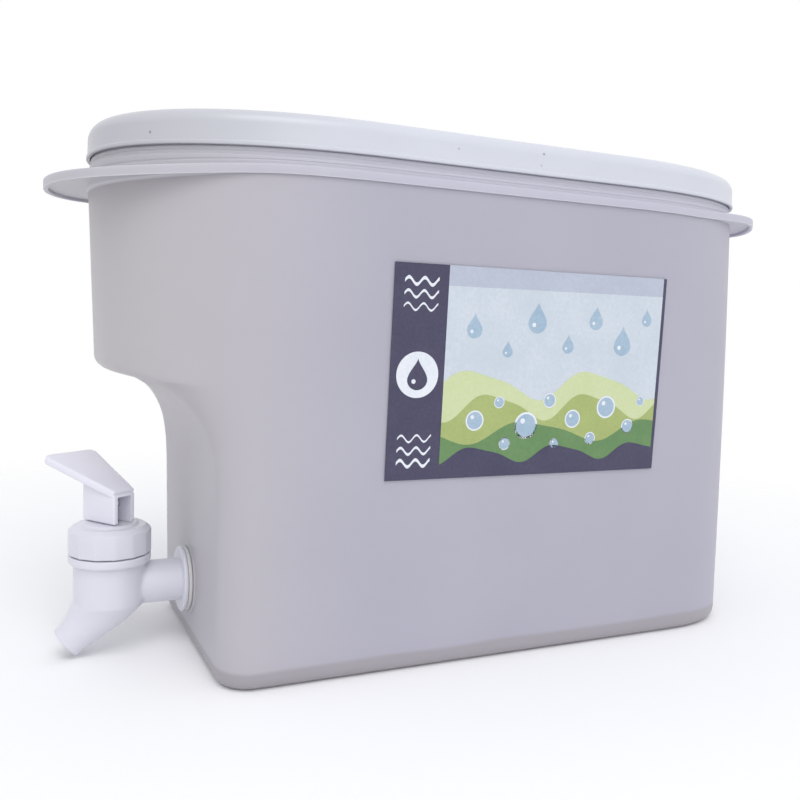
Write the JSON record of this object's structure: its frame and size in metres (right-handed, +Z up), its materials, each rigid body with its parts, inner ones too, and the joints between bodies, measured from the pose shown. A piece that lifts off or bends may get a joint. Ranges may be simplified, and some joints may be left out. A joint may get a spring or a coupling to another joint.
{
  "type": "fridge water jug with tap",
  "caption": "Long plastic drink tank with a stepped end, grip ears, a press-fit lid and a push-lever tap under the overhang.",
  "frame": {"origin": "centre of the bounding box at the base, on the surface that the foot stands on", "axes": "+X along the length, away from the tap; +Y across, away from the labelled side; +Z up"},
  "size_m": [0.282, 0.1162, 0.1758],
  "materials": {
    "frosted_plastic": "frosted, translucent polypropylene",
    "lid_plastic": "smooth white polypropylene",
    "tap_plastic": "smooth white moulded plastic",
    "silicone": "soft matt silicone",
    "spring_steel": "drawn stainless wire",
    "label_film": "printed glossy film"
  },
  "bodies": {
    "root": {"tank": "frosted_plastic", "label": "label_film", "tap_body": "tap_plastic", "outer_washer": "silicone", "inner_washer": "silicone", "lock_nut": "tap_plastic", "bonnet_nut": "tap_plastic", "seat_cup": "silicone"},
    "lid": {"lid": "lid_plastic"},
    "spring_body": {"return_spring": "spring_steel"},
    "stem_body": {"stem": "tap_plastic"},
    "lever_body": {"lever": "tap_plastic"}
  },
  "joints": [
    {"name": "lid_lift", "type": "slide", "parent": "root", "child": "lid", "axis": [0, 0, 1], "range_m": [0, 0.06]},
    {"name": "lever_swivel", "type": "hinge", "parent": "root", "child": "spring_body", "pos_m": [-0.1203, 0, 0.0453], "axis": [0, 0, 1], "continuous": true},
    {"name": "stem_lift", "type": "slide", "parent": "spring_body", "child": "stem_body", "axis": [0, 0, 1], "range_m": [0, 0.00305], "deforming": ["return_spring", "seat_cup"]},
    {"name": "lever_tilt", "type": "hinge", "parent": "stem_body", "child": "lever_body", "pos_m": [-0.1203, 0, 0.0515], "axis": [-0.8171, -0.5764, 0], "range_deg": [0, 26], "stiffness_Nm_per_rad": 0.12, "springref_deg": -2.86}
  ],
  "couplings": [
    {"joint": "lever_tilt", "follows": "stem_lift", "rad_per_m": 142.86}
  ]
}
